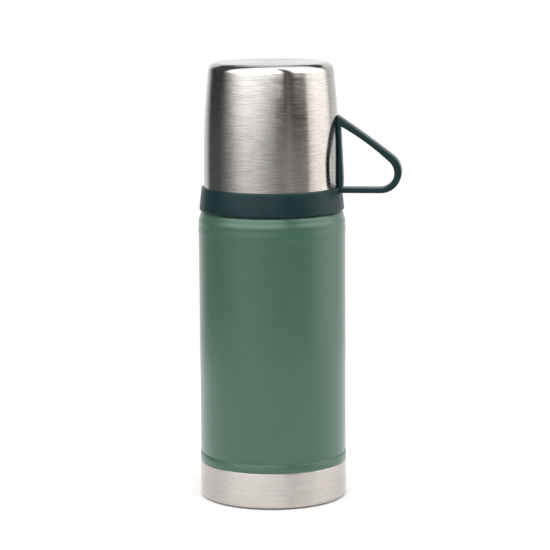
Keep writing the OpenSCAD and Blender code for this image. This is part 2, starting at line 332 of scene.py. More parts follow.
def powderCoat(name, look):
    s = newShader(name)
    place = s.place()
    grain = s.noise(place, look["grainScale"], 3, 0.6)
    cloud = s.noise(place, look["cloudScale"], 3, 0.55)
    mottle = s.spread(cloud + (grain - 0.5) * 0.5, 0.3, 0.75)
    patches = (cloud - 0.5) * look["cloudRough"]
    return s.surface({
        "Base Color": s.tint(mottle, look["tone"], look["lightTone"]),
        "Roughness": look["roughness"] + patches + (grain - 0.5) * look["grainRough"],
        "Specular IOR Level": look["specular"], "Sheen Weight": look["sheen"],
        "Sheen Roughness": look["sheenRoughness"],
        "Normal": s.bump(grain, look["depth"], look["bumpiness"]),
    })


plasticLook = {
    "tone": (0.0060, 0.024, 0.026, 1), "lightTone": (0.0078, 0.029, 0.031, 1),
    "roughness": 0.34, "grainRough": 0.12, "flowRough": 0.06, "grainScale": 3200, "flowScale": 80,
    "depth": 0.00002, "bumpiness": 0.45, "specular": 0.19,
}


def mouldedPlastic(name, look):
    s = newShader(name)
    place = s.place()
    grain = s.noise(place, look["grainScale"], 2, 0.5)
    flow = s.noise(place, look["flowScale"], 2, 0.5)
    patches = (grain - 0.5) * look["grainRough"]
    return s.surface({
        "Base Color": s.tint(s.spread(flow, 0.35, 0.65), look["tone"], look["lightTone"]),
        "Roughness": look["roughness"] + patches + (flow - 0.5) * look["flowRough"],
        "Specular IOR Level": look["specular"],
        "Normal": s.bump(grain, look["depth"], look["bumpiness"]),
    })


greenCoat = powderCoat("greenCoat", coatLook)
cupSteel = brushedSteel("cupSteel", steelLook)
# the band's lowest 1.1 mm take painted shade, standing in for the contact shadow under its rounded foot
bandSteel = brushedSteel("bandSteel", {
    **steelLook, "tone": (0.56, 0.522, 0.49, 1), "shadeTone": (0.505, 0.469, 0.44, 1), "roughness": 0.27,
    "streakFineness": 1500, "streakLength": 70, "bumpiness": 0.3, "paintedShadowZ": 0.0011})
darkPlastic = mouldedPlastic("darkPlastic", plasticLook)
greyPlastic = mouldedPlastic("greyPlastic", {
    **plasticLook, "tone": (0.075, 0.086, 0.086, 1), "lightTone": (0.092, 0.103, 0.103, 1),
    "roughness": 0.38})
whitePlastic = mouldedPlastic("whitePlastic", {
    **plasticLook, "tone": (0.70, 0.69, 0.66, 1), "lightTone": (0.78, 0.77, 0.74, 1), "roughness": 0.42,
    "specular": 0.45})
silicone = mouldedPlastic("silicone", {
    **plasticLook, "tone": (0.56, 0.56, 0.54, 1), "lightTone": (0.64, 0.64, 0.62, 1), "roughness": 0.52,
    "grainScale": 1400, "specular": 0.35})
blackRubber = mouldedPlastic("blackRubber", {
    **plasticLook, "tone": (0.016, 0.016, 0.016, 1), "lightTone": (0.026, 0.026, 0.025, 1), "roughness": 0.72,
    "grainScale": 1800, "depth": 0.00004, "bumpiness": 0.7})
innerSteel = brushedSteel("innerSteel", {
    **steelLook, "tone": (0.68, 0.68, 0.67, 1), "shadeTone": (0.61, 0.61, 0.60, 1), "roughness": 0.2,
    "streakFineness": 900, "streakLength": 120, "anisotropic": 0.4, "bumpiness": 0.2})


foilLook = {
    # darkTone is the colour along the creases, which is painted shade, and also the dark end of a random
    # cloud tone
    "tone": (0.76, 0.43, 0.28, 1), "darkTone": (0.58, 0.28, 0.17, 1), "roughness": 0.24, "cloudRough": 0.2,
    "creases": 220, "cloudScale": 90, "depth": 0.00012, "bumpiness": 0.6,
}


def creasedFoil(name, look):
    s = newShader(name)
    place = s.place()
    crease = s.node("ShaderNodeTexVoronoi", {"feature": "DISTANCE_TO_EDGE"},
                    {"Vector": place, "Scale": look["creases"]})
    cloud = s.noise(place, look["cloudScale"], 3, 0.6)
    # fold marks the crease lines: it drives the bump and also darkens the colour there, which is painted
    # shade in the folds; the cloud adds random tone
    fold = s.spread(crease, 0.0, 0.12)
    return s.surface({
        "Base Color": s.tint(fold * 0.6 + cloud * 0.4, look["darkTone"], look["tone"]), "Metallic": 1.0,
        "Roughness": look["roughness"] + (cloud - 0.5) * look["cloudRough"],
        "Normal": s.bump(fold, look["depth"], look["bumpiness"]),
    })


foamLook = {
    # poreTone is painted shade inside the pores
    "tone": (0.70, 0.66, 0.55, 1), "poreTone": (0.50, 0.46, 0.37, 1), "roughness": 0.85, "poreRough": 0.1,
    "pores": 1100, "depth": 0.0002, "bumpiness": 0.8,
}


def cellFoam(name, look):
    s = newShader(name)
    pore = s.node("ShaderNodeTexVoronoi", {"feature": "F1"}, {"Vector": s.place(), "Scale": look["pores"]})
    # the pores, pits in the bump, are painted darker than the skin: painted shade inside them
    skin = s.spread(pore, 0.15, 0.6)
    return s.surface({
        "Base Color": s.tint(skin, look["poreTone"], look["tone"]),
        "Roughness": look["roughness"] + (skin - 0.5) * look["poreRough"],
        "Normal": s.bump(skin, look["depth"], look["bumpiness"]),
    })


sinterLook = {
    "tone": (0.10, 0.10, 0.105, 1), "lightTone": (0.21, 0.21, 0.21, 1), "metallic": 0.8,
    "roughness": 0.55, "grainRough": 0.4, "grains": 2400, "depth": 0.0001, "bumpiness": 0.8,
}


def sinteredMetal(name, look):
    s = newShader(name)
    grain = s.noise(s.place(), look["grains"], 4, 0.7)
    return s.surface({
        "Base Color": s.tint(s.spread(grain, 0.35, 0.65), look["tone"], look["lightTone"]),
        "Metallic": look["metallic"],
        "Roughness": look["roughness"] + (grain - 0.5) * look["grainRough"],
        "Normal": s.bump(grain, look["depth"], look["bumpiness"]),
    })


wireLook = {
    "tone": (0.64, 0.64, 0.63, 1), "shadeTone": (0.44, 0.44, 0.43, 1), "roughness": 0.22, "drawRough": 0.2,
    "drawLength": 2, "drawFineness": 4000, "depth": 0.00002, "bumpiness": 0.4,
}


def drawnWire(name, look):
    s = newShader(name)
    x, y, z = s.split(s.place())
    turn = s.maths("ARCTAN2", y, x)
    radius = (x * x + y * y) ** 0.5
    fineness = look["drawFineness"]
    draw = s.noise(s.vector(turn * look["drawLength"], radius * fineness, z * fineness), 1, 3, 0.6)
    return s.surface({
        "Base Color": s.tint(s.spread(draw, 0.35, 0.65), look["shadeTone"], look["tone"]), "Metallic": 1.0,
        "Roughness": look["roughness"] + (draw - 0.5) * look["drawRough"],
        "Normal": s.bump(draw, look["depth"], look["bumpiness"]),
    })


copperFoil = creasedFoil("copperFoil", foilLook)
rigidFoam = cellFoam("rigidFoam", foamLook)
getterMetal = sinteredMetal("getterMetal", sinterLook)
springSteel = drawnWire("springSteel", wireLook)
print("finishes made")


# ---- flask body ----
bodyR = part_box("base_cover")[1].x / mm
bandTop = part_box("base_cover")[1].z / mm
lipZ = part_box("inner_liner")[1].z / mm
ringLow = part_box("handle_ring")[0].z / mm

coat = {"wallR": bodyR - 0.2, "shoulderZ": 149.6, "creaseZ": 23.2, "neckR": 26.5, "steel": 0.6, "footZ": 3.9}


def makeBodyShell():
    wall = coat["wallR"]
    z = coat["creaseZ"]
    flat = coat["shoulderZ"]
    foot = [(bodyR - 0.65, coat["footZ"]), (bodyR - 0.65, bandTop - 0.5), (bodyR - 0.6, bandTop - 0.1),
            (bodyR - 0.3, bandTop + 0.05), (bodyR - 0.1, bandTop + 0.12), (bodyR, bandTop + 0.3),
            (bodyR, bandTop + 0.6), (bodyR, z - 0.45), (bodyR - 0.07, z - 0.3), (bodyR - 0.2, z - 0.2),
            (wall - 0.34, z - 0.05), (wall - 0.44, z + 0.15), (wall - 0.4, z + 0.5), (wall - 0.24, z + 0.95),
            (wall - 0.07, z + 1.4), (wall, z + 2)]
    beadOutline = [(-0.2, -12.8), (-0.17, -11.9), (-0.08, -11.1), (-0.01, -10.5), (0, -10.1), (-0.01, -9.6),
                   (-0.07, -8.7), (-0.15, -7.8), (-0.22, -7.2), (-0.245, -6.8), (-0.225, -6.4), (-0.18, -5.9),
                   (-0.19, -5.4), (-0.3, -4.7), (-0.48, -4.1), (-0.7, -3.5), (-0.83, -3.2), (-0.92, -2.95),
                   (-0.99, -2.5), (-1.14, -1.8), (-1.36, -1.15), (-1.66, -0.6), (-2.05, -0.2), (-2.6, 0)]
    upper = [(bodyR + dr, flat + dz) for dr, dz in beadOutline]
    shoulder = [(34.2, flat), (coat["neckR"] + 1.6, flat)]
    neck = arcPoints(coat["neckR"] + 1.5, flat + 1.5, 1.5, 270, 180, 6) + [(coat["neckR"], lipZ - 0.6)]
    shell = turned("bodyShell", foot + upper + shoulder + neck, sides=192, wall=coat["steel"])
    fit(settle(shell), "flask", ["outer_shell"], greenCoat)

base = {"grooveR": 26, "grooveHalf": 2, "grooveDeep": 1.1, "edge": 2}


def makeBaseBand():
    middle, half, edge = base["grooveR"], base["grooveHalf"], base["edge"]
    groove = [(middle - half * math.cos(math.radians(a)), base["grooveDeep"] * math.sin(math.radians(a)))
              for a in range(0, 181, 20)]
    under = [(0, 0), (12, 0), (middle - half - 0.4, 0)] + groove
    under += [(middle + half + 0.4, 0), (bodyR - edge - 0.6, 0)]
    corner = arcPoints(bodyR - edge, edge, edge, -90, 0, 9)
    wall = [(bodyR, edge + 1), (bodyR, bandTop - 0.9), (bodyR, bandTop - 0.35),
            (bodyR - 0.05, bandTop - 0.12), (bodyR - 0.2, bandTop)]
    band = turned("baseBand", under + corner + wall, sides=192, wall=coat["steel"])
    fit(settle(band), "flask", ["base_cover"], bandSteel)


# ---- cup ----
cup = {"rimZ": ringLow + 2.4, "taperFrom": ringLow + 12, "radius": 34.9, "taper": 2.8, "power": 2.6,
       "edge": 4.6, "steel": 0.6, "steps": 22, "edgeSteps": 14}
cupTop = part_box("cup_shell")[1].z / mm
cupBow = cupTop - cup["edge"] - cup["taperFrom"]


def cupRadius(z):
    return cup["radius"] - cup["taper"] * (max(0, z - cup["taperFrom"]) / cupBow) ** cup["power"]


def makeCup():
    steps = cup["steps"]
    wall = [(cup["radius"], cup["rimZ"]), (cup["radius"], cup["taperFrom"] - 1)]
    wall += [(cupRadius(z), z) for z in [cup["taperFrom"] + cupBow * i / steps for i in range(steps)]]
    lean = math.degrees(math.atan(cup["power"] * cup["taper"] / cupBow))
    edge = cup["edge"]
    edgeR = cupRadius(cup["taperFrom"] + cupBow) - edge * math.cos(math.radians(lean))
    bend = arcPoints(edgeR, cupTop - edge - 0.06, edge, lean, 88, cup["edgeSteps"])
    top = [(edgeR - 1.5, cupTop - 0.03), (edgeR - 5, cupTop - 0.01), (14, cupTop), (5, cupTop), (0, cupTop)]
    shell = turned("cupBowl", wall + bend + top, sides=192, wall=cup["steel"])
    fit(settle(shell, 60), "cup", ["cup_shell"], cupSteel)


# ---- ring and handle, one moulding ----
handle = {
    "width": 10, "reach": 66.9, "top": 198.65, "turn": -6, "bendR": 10.5, "round": 0.5, "sunk": 0.25,
    "footDrop": 3.15, "footR": 34.7, "bow": 0.3, "bendSteps": 16, "armSteps": 8,
    "legZs": (194, 190, 184, 178, 172, 166),
}
fingerHole = {
    "bendShift": (-0.9, -0.2), "bendIn": 2.7, "cornerR": 35.9, "cornerDrop": 5.6, "footR": 36.8, "bow": 0.9,
    "legR": 35.78, "legLean": 0.047, "legZs": (192, 191, 189, 185, 180, 175, 170, 165.5),
}
ringForm = {"height": 12, "bore": 32.3, "seatIn": 33.1, "seatOut": 35.5, "seatDeep": 1.2, "threadZ": 153}
screwForm = {"pitch": 4, "turns": 1.25, "rootWide": 2.4, "tipWide": 1.4, "depth": 1.2, "sunk": 0.3,
             "steps": 60}


def screwRidge(name, root, outward, startZ):
    # a four-cornered face is wound up the axis; outward is 1, or -1 for a thread in a bore
    clearSelection()
    bpy.ops.mesh.primitive_plane_add(size=1, location=(0, 0, 0))
    ridge = bpy.context.active_object
    ridge.name = name
    tip = root + outward * screwForm["depth"]
    foot = root - outward * screwForm["sunk"]
    for corner in ridge.data.vertices:
        far = corner.co.x > 0
        half = screwForm["tipWide" if far else "rootWide"] / 2
        side = math.copysign(half, corner.co.y)
        corner.co = ((tip if far else foot) * mm, 0, (startZ + side) * mm)
    rise = screwForm["pitch"] * screwForm["turns"]
    return wound(ridge, screwForm["turns"], rise, screwForm["steps"], 4)


def touch(centre, radius, point):
    # the angle at which a line from point touches the circle
    dr, dz = point[0] - centre[0], point[1] - centre[1]
    return math.degrees(math.atan2(dz, dr) - math.acos(radius / math.hypot(dr, dz)))


def arm(start, end, bow):
    # a line with a slight bow, without its two ends
    points = []
    for i in range(1, handle["armSteps"]):
        t = i / handle["armSteps"]
        lift = bow * 4 * t * (1 - t)
        points.append((start[0] + (end[0] - start[0]) * t + lift * 0.57,
                       start[1] + (end[1] - start[1]) * t + lift * 0.82))
    return points


def handleLoops():
    footZ = cup["taperFrom"] - handle["footDrop"]
    bendC = (handle["reach"] - handle["bendR"], footZ + handle["bendR"])
    holeC = (bendC[0] + fingerHole["bendShift"][0], bendC[1] + fingerHole["bendShift"][1])
    holeR = handle["bendR"] - fingerHole["bendIn"]
    meet = (cupRadius(handle["top"]) - handle["sunk"], handle["top"])
    corner = (fingerHole["cornerR"], handle["top"] - fingerHole["cornerDrop"])
    legTop = fingerHole["legZs"][0]
    outerEnd, holeEnd = touch(bendC, handle["bendR"], meet), touch(holeC, holeR, corner)
    outerBend = arcPoints(*bendC, handle["bendR"], -90, outerEnd, handle["bendSteps"])
    holeBend = arcPoints(*holeC, holeR, -90, holeEnd, handle["bendSteps"])
    outer = [(handle["footR"], footZ)] + outerBend + arm(outerBend[-1], meet, handle["bow"]) + [meet]
    outer += [(cupRadius(z) - handle["sunk"], z) for z in handle["legZs"]]
    hole = [(fingerHole["footR"], holeC[1] - holeR)] + holeBend
    hole += arm(holeBend[-1], corner, fingerHole["bow"]) + [corner]
    hole += [(fingerHole["legR"] + (legTop - z) * fingerHole["legLean"], z) for z in fingerHole["legZs"]]
    return outer, hole


def flatLoop(name, points):
    clearSelection()
    bpy.ops.mesh.primitive_circle_add(vertices=len(points), radius=1)
    loop = bpy.context.active_object
    loop.name = name
    for corner, (r, z) in zip(loop.data.vertices, points):
        corner.co = (r * mm, -handle["width"] / 2 * mm, z * mm)
    return loop


def makeHandle():
    outer, hole = handleLoops()
    band = joinPieces("loopHandle", [flatLoop("outerLoop", outer), flatLoop("holeLoop", hole)])
    bpy.ops.object.mode_set(mode="EDIT")
    bpy.ops.mesh.select_all(action="SELECT")
    bpy.ops.mesh.bridge_edge_loops()
    bpy.ops.mesh.select_all(action="SELECT")
    bpy.ops.mesh.extrude_region_move(TRANSFORM_OT_translate={"value": (0, handle["width"] * mm, 0)})
    bpy.ops.mesh.select_all(action="SELECT")
    bpy.ops.mesh.normals_make_consistent(inside=False)
    bpy.ops.object.mode_set(mode="OBJECT")
    modify(band, "BEVEL", width=handle["round"] * mm, segments=3, limit_method="ANGLE",
           angle_limit=math.radians(40), harden_normals=False)
    band.rotation_euler = (0, 0, math.radians(handle["turn"]))
    activate(band)
    bpy.ops.object.transform_apply(location=True, rotation=True, scale=True)
    return band


def makeCupRing():
    low, high = ringLow, ringLow + ringForm["height"]
    bore, cupR = ringForm["bore"], cup["radius"]
    seatIn, seatOut, seatZ = ringForm["seatIn"], ringForm["seatOut"], low + ringForm["seatDeep"]
    section = ([(bore, low + 0.4), (bore + 0.4, low), (seatIn, low), (seatIn, seatZ), (seatOut, seatZ)]
               + [(seatOut, low), (bodyR - 1.3, low)] + arcPoints(bodyR - 1.25, low + 0.55, 0.55, -80, 0, 4)
               + [(bodyR - 0.75, low + 1.4), (cupR + 1.28, high - 1.1)]
               + arcPoints(cupR + 0.3, high - 1.0, 0.95, 6, 84, 6)
               + [(cupR + 0.2, high - 0.15), (cupR + 0.02, high - 0.5)]
               + [(cupR + 0.02, cup["rimZ"]), (cupR - 0.6, cup["rimZ"])]
               + [(cupR - 0.6, high + 3), (bore + 0.8, high + 3), (bore, high + 2.2)])
    ring = turned("cupRing", section, sides=192, closed=True)
    band = makeHandle()
    modify(ring, "BOOLEAN", operation="UNION", object=band, solver="EXACT")
    bpy.data.objects.remove(band)
    ridge = screwRidge("ridge", bore, -1, ringForm["threadZ"])
    ring = joinPieces("cupRing", [ring, ridge])
    fit(settle(ring, 32), "cup", ["handle_ring"], darkPlastic)


# ---- inside the flask ----
liner = {"radius": 34, "steel": 0.5, "floor": 8.5, "seam": 12.5, "mouth": 24.4, "domeZ": 138, "domeH": 8,
         "neckBend": 2, "floorBend": 4, "lipHigh": 0.6, "threadZ": 157}


def makeLiner():
    mouth, neck, bend = liner["mouth"], coat["neckR"], liner["neckBend"]
    out = mouth + liner["steel"]
    lipLow = lipZ - liner["lipHigh"]
    reach = liner["radius"] - out - bend
    angles = [math.radians(a) for a in range(0, 90, 9)]
    dome = [(out + bend + reach * math.cos(a), liner["domeZ"] + liner["domeH"] * math.sin(a)) for a in angles]
    neckFoot = arcPoints(out + bend, liner["domeZ"] + liner["domeH"] + bend, bend, 270, 180, 6)
    wall = [(liner["radius"], liner["seam"])] + dome + neckFoot + [(out, lipLow)]
    shell = turned("liner", wall, sides=128, wall=liner["steel"])
    lip = turned("lip", [(mouth, lipLow), (neck, lipLow), (neck, lipZ), (mouth, lipZ)], 128, closed=True)
    rounded(lip, 0.25)
    thread = screwRidge("linerThread", mouth, -1, liner["threadZ"])
    shell = joinPieces("liner", [shell, lip, thread])
    fit(settle(shell), "flask", ["inner_liner"], innerSteel)


def makeLinerBottom():
    r, z, bend = liner["radius"], liner["floor"], liner["floorBend"]
    dish = [(0, z), (10, z), (22, z)] + arcPoints(r - bend, z + bend, bend, -90, 0, 10) + [(r, liner["seam"])]
    bottom = turned("linerBottom", dish, sides=128, wall=liner["steel"])
    fit(settle(bottom), "flask", ["inner_bottom"], innerSteel)


disc = {"gap": 1.25, "plugHole": 1.5, "bend": 2, "height": 5}


def makeOuterBottom():
    r, z, bend = bodyR - disc["gap"], coat["footZ"], disc["bend"]
    dish = [(disc["plugHole"], z), (12, z)] + arcPoints(r - bend, z + bend, bend, -90, 0, 8)
    dish += [(r, z + disc["height"])]
    bottom = turned("outerBottom", dish, sides=128, wall=coat["steel"])
    fit(settle(bottom), "flask", ["outer_bottom"], innerSteel)


collar = {"root": 30.6, "wall": 1.6, "bushWall": 1.25, "seat": 1.65, "low": 149.65, "high": 166.4,
          "round": 0.35, "threadZ": 155, "ribs": 12, "ribWide": 1.2, "ribSunk": 0.05}


def makeCollar():
    root, wall, low, high = collar["root"], collar["wall"], collar["low"], collar["high"]
    inner = coat["neckR"] + 0.05
    bush, seat = inner + collar["bushWall"], low + collar["seat"]
    section = [(root, low), (root, high), (inner, high), (inner, seat), (bush, seat), (bush, high - wall),
               (root - wall, high - wall), (root - wall, low)]
    ring = rounded(turned("collar", section, sides=160, closed=True), collar["round"])
    pieces = [ring, screwRidge("collarThread", root, 1, collar["threadZ"])]
    half, sunk = collar["ribWide"] / 2, collar["ribSunk"]
    ribLow = (bush - 0.2, -half, seat + 0.45 - sunk)
    ribHigh = (root - wall + 0.15, half, high - wall + sunk)
    for i in range(collar["ribs"]):
        pieces.append(boxAt("rib", ribLow, ribHigh, 360 * i / collar["ribs"]))
    fit(settle(joinPieces("collar", pieces)), "flask", ["neck_collar"], darkPlastic)


sealBore = {"collar_gasket": 28.2, "cup_gasket": 33.2, "stopper_seal": 24.6, "valve_seal": 2.5}


def makeSeal(name, node, body, finish, soft=0.3):
    # a ring of the node's own size with soft corners
    low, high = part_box(node)
    inner, outer, bottom, top = sealBore[node], high.x / mm, low.z / mm, high.z / mm
    section = [(outer, bottom), (outer, top), (inner, top), (inner, bottom)]
    ring = turned(name, section, sides=128, closed=True)
    fit(settle(rounded(ring, soft)), body, [node], finish)


# ---- stopper ----
stopper = {"root": 22.7, "low": 146, "pour": 9, "channel": 11.5, "channelWall": 1.5, "wall": 1.8, "floor": 2,
           "flange": 169.2, "seat": 0.8, "deck": 171.2, "round": 0.12, "threadZ": 155}
cap = {"radius": 25.6, "wall": 1.6, "top": 187, "corner": 1.6, "well": 15.2, "wellZ": 176, "wellWall": 1.4,
       "plate": 1.5, "rod": 2.6, "gland": 4.3, "glandWall": 1.5, "glandZ": 171.8, "windows": 6,
       "windowStep": 20, "windowHalf": 3, "windowZs": (0.4, 3), "gap": 0.3, "restIn": 0.2, "restOut": 1.4}
button = {"radius": 15, "low": 181, "top": 189.5, "rod": 2.5, "rodTop": 186, "boss": 2, "crown": 2,
          "skirt": 2.6, "grooveZs": (0.8, 4.2), "grooveDeep": 1.2, "dish": 0.5, "dishR": 11.6,
          "grips": 3, "gripR": 11.4, "gripStep": 2.2, "gripDeep": 0.22, "gripHalves": (0.4, 0.15)}
key = {"inner": 18.4, "outer": 22.2, "low": 178.5, "high": 181.5, "padWide": 11, "padHigh": 5.5, "padOut": 27,
       "catchWide": 6, "grips": 3, "gripStep": 1.3, "gripHigh": 0.5, "gripDeep": 0.4, "gripHalf": 4.2,
       "pocketR": 2.2, "pocketEnd": 24, "pocketZ": 181.2}


def makeStopperBody():
    root, low, deck, flange = stopper["root"], stopper["low"], stopper["deck"], stopper["flange"]
    mouth, neck, seat = liner["mouth"] + 0.15, coat["neckR"], stopper["flange"] + stopper["seat"]
    pour, channel, floor = stopper["pour"], stopper["channel"], low + stopper["floor"]
    wallIn, channelOut = root - stopper["wall"], channel + stopper["channelWall"]
    section = [(pour, low), (root - 1, low), (root, low + 1), (root, flange), (mouth, flange), (mouth, seat),
               (neck - 0.3, seat), (neck - 0.3, flange), (neck, flange), (neck, deck), (wallIn, deck),
               (wallIn, floor), (channelOut, floor), (channelOut, deck), (channel, deck),
               (channel, floor), (pour, floor)]
    body = rounded(turned("stopperBody", section, sides=160, closed=True), stopper["round"], 2)
    thread = screwRidge("stopperThread", root, 1, stopper["threadZ"])
    plug = joinPieces("stopperBody", [body, thread])
    fit(settle(plug), "stopper", ["stopper_body"], greyPlastic)


def makeStopperCap():
    r, wall, top, deck = cap["radius"], cap["wall"], cap["top"], stopper["deck"]
    well, floorZ, under = cap["well"], cap["wellZ"], cap["wellZ"] - cap["plate"]
    wellOut, corner = well + cap["wellWall"], cap["corner"]
    rod, gland, glandZ = cap["rod"], cap["gland"], cap["glandZ"]
    section = ([(r - wall, deck), (r, deck), (r, top - corner)]
               + arcPoints(r - corner, top - corner, corner, 12, 90, 6)
               + [(well + 0.5, top), (well, top - 0.5), (well, floorZ), (rod, floorZ), (rod, under),
                  (gland, under), (gland, glandZ), (gland + cap["glandWall"], glandZ),
                  (gland + cap["glandWall"], under), (r - wall, under)])
    shell = turned("stopperCap", section, sides=160, closed=True)
    inside = [(wellOut, floorZ), (r - wall, floorZ), (r - wall, top - wall), (wellOut, top - wall)]
    combine(shell, turned("hollow", inside, sides=160, closed=True), "DIFFERENCE")
    half, (low, high) = cap["windowHalf"], cap["windowZs"]
    for i in range(cap["windows"]):
        turn = (i - (cap["windows"] - 1) / 2) * cap["windowStep"] - 90
        window = boxAt("window", (r - 3, -half, deck + low), (r + 1, half, deck + high), turn)
        combine(shell, window, "DIFFERENCE")
    gap = cap["gap"]
    half, low, high = key["padWide"] / 2 + gap, key["low"] - gap, key["low"] + key["padHigh"] + gap
    combine(shell, boxAt("keyWindow", (-half, 21, low), (half, 29, high)), "DIFFERENCE")
    half, high = key["catchWide"] / 2 + gap, key["high"] + gap
    combine(shell, boxAt("catchWindow", (-half, -wellOut - 1, low), (half, -well + 2, high)), "DIFFERENCE")
    restIn, restOut = key["inner"] + cap["restIn"], key["inner"] + cap["restOut"]
    low, high = floorZ - 0.1, key["low"] - 0.05
    rest = turned("keyRest", [(restIn, low), (restOut, low), (restOut, high), (restIn, high)],
                  sides=160, closed=True)
    combine(shell, rest, "UNION")
    fit(settle(shell, 30), "stopper", ["stopper_cap"], darkPlastic)


def makeButton():
    r, low, top, rod, rodTop = button["radius"], button["low"], button["top"], button["rod"], button["rodTop"]
    bossR, under, skirtR = rod + button["boss"], top - button["crown"], r - button["skirt"]
    grooveR, (grooveLow, grooveHigh) = r - button["grooveDeep"], button["grooveZs"]
    wide, narrow = button["gripHalves"]
    grips = []
    for i in range(button["grips"]):         # fine grooves on the dished top
        g = button["gripR"] - i * button["gripStep"]
        dish = top - 0.1 - button["dish"] * (1 - g / button["dishR"])
        floor = dish - button["gripDeep"]
        grips += [(g + wide, dish), (g + narrow, floor), (g - narrow, floor), (g - wide, dish)]
    section = ([(rod, rodTop), (rod, low + 1), (bossR, low + 1), (bossR, under), (skirtR, under),
                (skirtR, low), (r, low), (r, low + grooveLow), (grooveR, low + grooveLow),
                (grooveR, low + grooveHigh), (r, low + grooveHigh), (r, top - 1)]
               + arcPoints(r - 1, top - 1, 1, 10, 90, 6) + [(r - 3, top - 0.05)] + grips
               + [(4, top - 0.55), (0, top - 0.6)])
    shell = turned("pushButton", section, sides=128)
    pick(shell, lambda co: abs(co.z - rodTop * mm) < same and math.hypot(co.x, co.y) < (rod + 0.1) * mm)
    closeOnAxis(0)
    weldMesh()
    fit(settle(shell), "button", ["push_button"], greyPlastic)


def makeKey():
    low, high, inner, outer, padOut = key["low"], key["high"], key["inner"], key["outer"], key["padOut"]
    section = [(inner, low), (outer, low), (outer, high), (inner, high)]
    frameRing = turned("releaseKey", section, 160, closed=True)
    half = key["padWide"] / 2
    pad = boxAt("pad", (-half, inner + 0.4, low), (half, padOut, low + key["padHigh"]))
    combine(frameRing, pad, "UNION")
    half = key["catchWide"] / 2
    catch = boxAt("catch", (-half, -inner - 1, low), (half, -button["radius"] - 0.1, high))
    combine(frameRing, catch, "UNION")
    half = key["gripHalf"]
    for i in range(key["grips"]):
        z = low + key["gripStep"] + i * key["gripStep"]
        grip = boxAt("grip", (-half, padOut - key["gripDeep"], z), (half, padOut + 1, z + key["gripHigh"]))
        combine(frameRing, grip, "DIFFERENCE")
    start, end = inner - 1, key["pocketEnd"]
    clearSelection()
    bpy.ops.mesh.primitive_cylinder_add(vertices=48, radius=key["pocketR"] * mm, depth=(end - start) * mm,
                                        location=(0, (start + end) / 2 * mm, key["pocketZ"] * mm),
                                        rotation=(math.pi / 2, 0, 0))
    combine(frameRing, bpy.context.active_object, "DIFFERENCE")
    fit(settle(frameRing, 30), "key", ["release_key"], greyPlastic)


# the button's spring, at the length it has when the button is down
coil = {"wire": 0.5, "turns": 5, "stepsATurn": 48, "sides": 12, "press": 3.5}


def makeButtonSpring():
    low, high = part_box("button_spring")
    wire = coil["wire"]
    ringX, startZ = high.x / mm - wire, low.z / mm + wire
    rise = high.z / mm - wire - coil["press"] - startZ
    clearSelection()
    bpy.ops.mesh.primitive_circle_add(vertices=coil["sides"], radius=wire * mm, rotation=(math.pi / 2, 0, 0),
                                      location=(ringX * mm, 0, startZ * mm))
    spring = bpy.context.active_object
    spring.name = "buttonSpring"
    bpy.ops.object.transform_apply(location=True, rotation=True, scale=True)
    wound(spring, coil["turns"], rise, coil["turns"] * coil["stepsATurn"], coil["sides"])
    fit(settle(spring), "stopper", ["button_spring"], springSteel)


def dressNodes():
    # pieces whose plain shape is right keep it and take a finish
    finishes = {
        "vacuum_plug": getterMetal, "base_cushion": blackRubber, "copper_foil": copperFoil,
        "getter": getterMetal, "stopper_foam": rigidFoam, "foam_cover": greyPlastic,
        "key_spring": springSteel, "valve_stem": whitePlastic, "valve_plate": whitePlastic,
        "stem_oring": blackRubber,
    }
    for node, finish in finishes.items():
        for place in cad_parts[node].material_slots:
            place.material = finish


makeBodyShell()
makeBaseBand()
makeCup()
makeCupRing()
print("body, band, cup and ring made")
makeLiner()
makeLinerBottom()
makeOuterBottom()
makeCollar()
makeSeal("collarGasket", "collar_gasket", "flask", blackRubber)
makeSeal("cupGasket", "cup_gasket", "cup_seal", blackRubber)
print("liner, bottoms, collar and gaskets made")
makeStopperBody()
makeStopperCap()
makeButton()
makeKey()
makeButtonSpring()
makeSeal("stopperSeal", "stopper_seal", "stopper_seal_ring", silicone)
makeSeal("valveSeal", "valve_seal", "button", silicone, 0.2)
dressNodes()
print("stopper, button and key made")


# ---- floor, light and camera ----
studio = {
    "cameraX": 0.0014, "distance": 1.18, "height": 0.301, "tilt": 8.94, "roll": -0.38, "lens": 151.0,
    "floorR": 0.36, "floorGlow": 0.08, "floorTone": (0.9, 0.9, 0.905, 1),
    "floorLight": (0.915, 0.915, 0.92, 1),
    "ambient": (1.14, 1.14, 1.15, 1), "horizon": (0.8, 0.8, 0.81, 1), "gap": (0.02, 0.02, 0.022, 1),
}
lampForm = {"at": (0, -0.2, 1.6), "size": 1.4, "power": 4}
toneScale = 4      # tones go up to this; a ramp's colours end at 1


def makeStage():
    clearSelection()
    bpy.ops.mesh.primitive_circle_add(vertices=96, radius=studio["floorR"], fill_type="NGON",
                                      location=(0, 0, 0))
    floor = bpy.context.active_object
    floor.name = "floor"
    s = newShader("paleFloor")
    soft = s.noise(s.place(), 3, 2, 0.5)
    dress(floor, s.surface({
        "Base Color": s.tint(soft, studio["floorTone"], studio["floorLight"]), "Roughness": 0.8,
        "Emission Color": (1, 1, 1, 1), "Emission Strength": studio["floorGlow"],
    }))


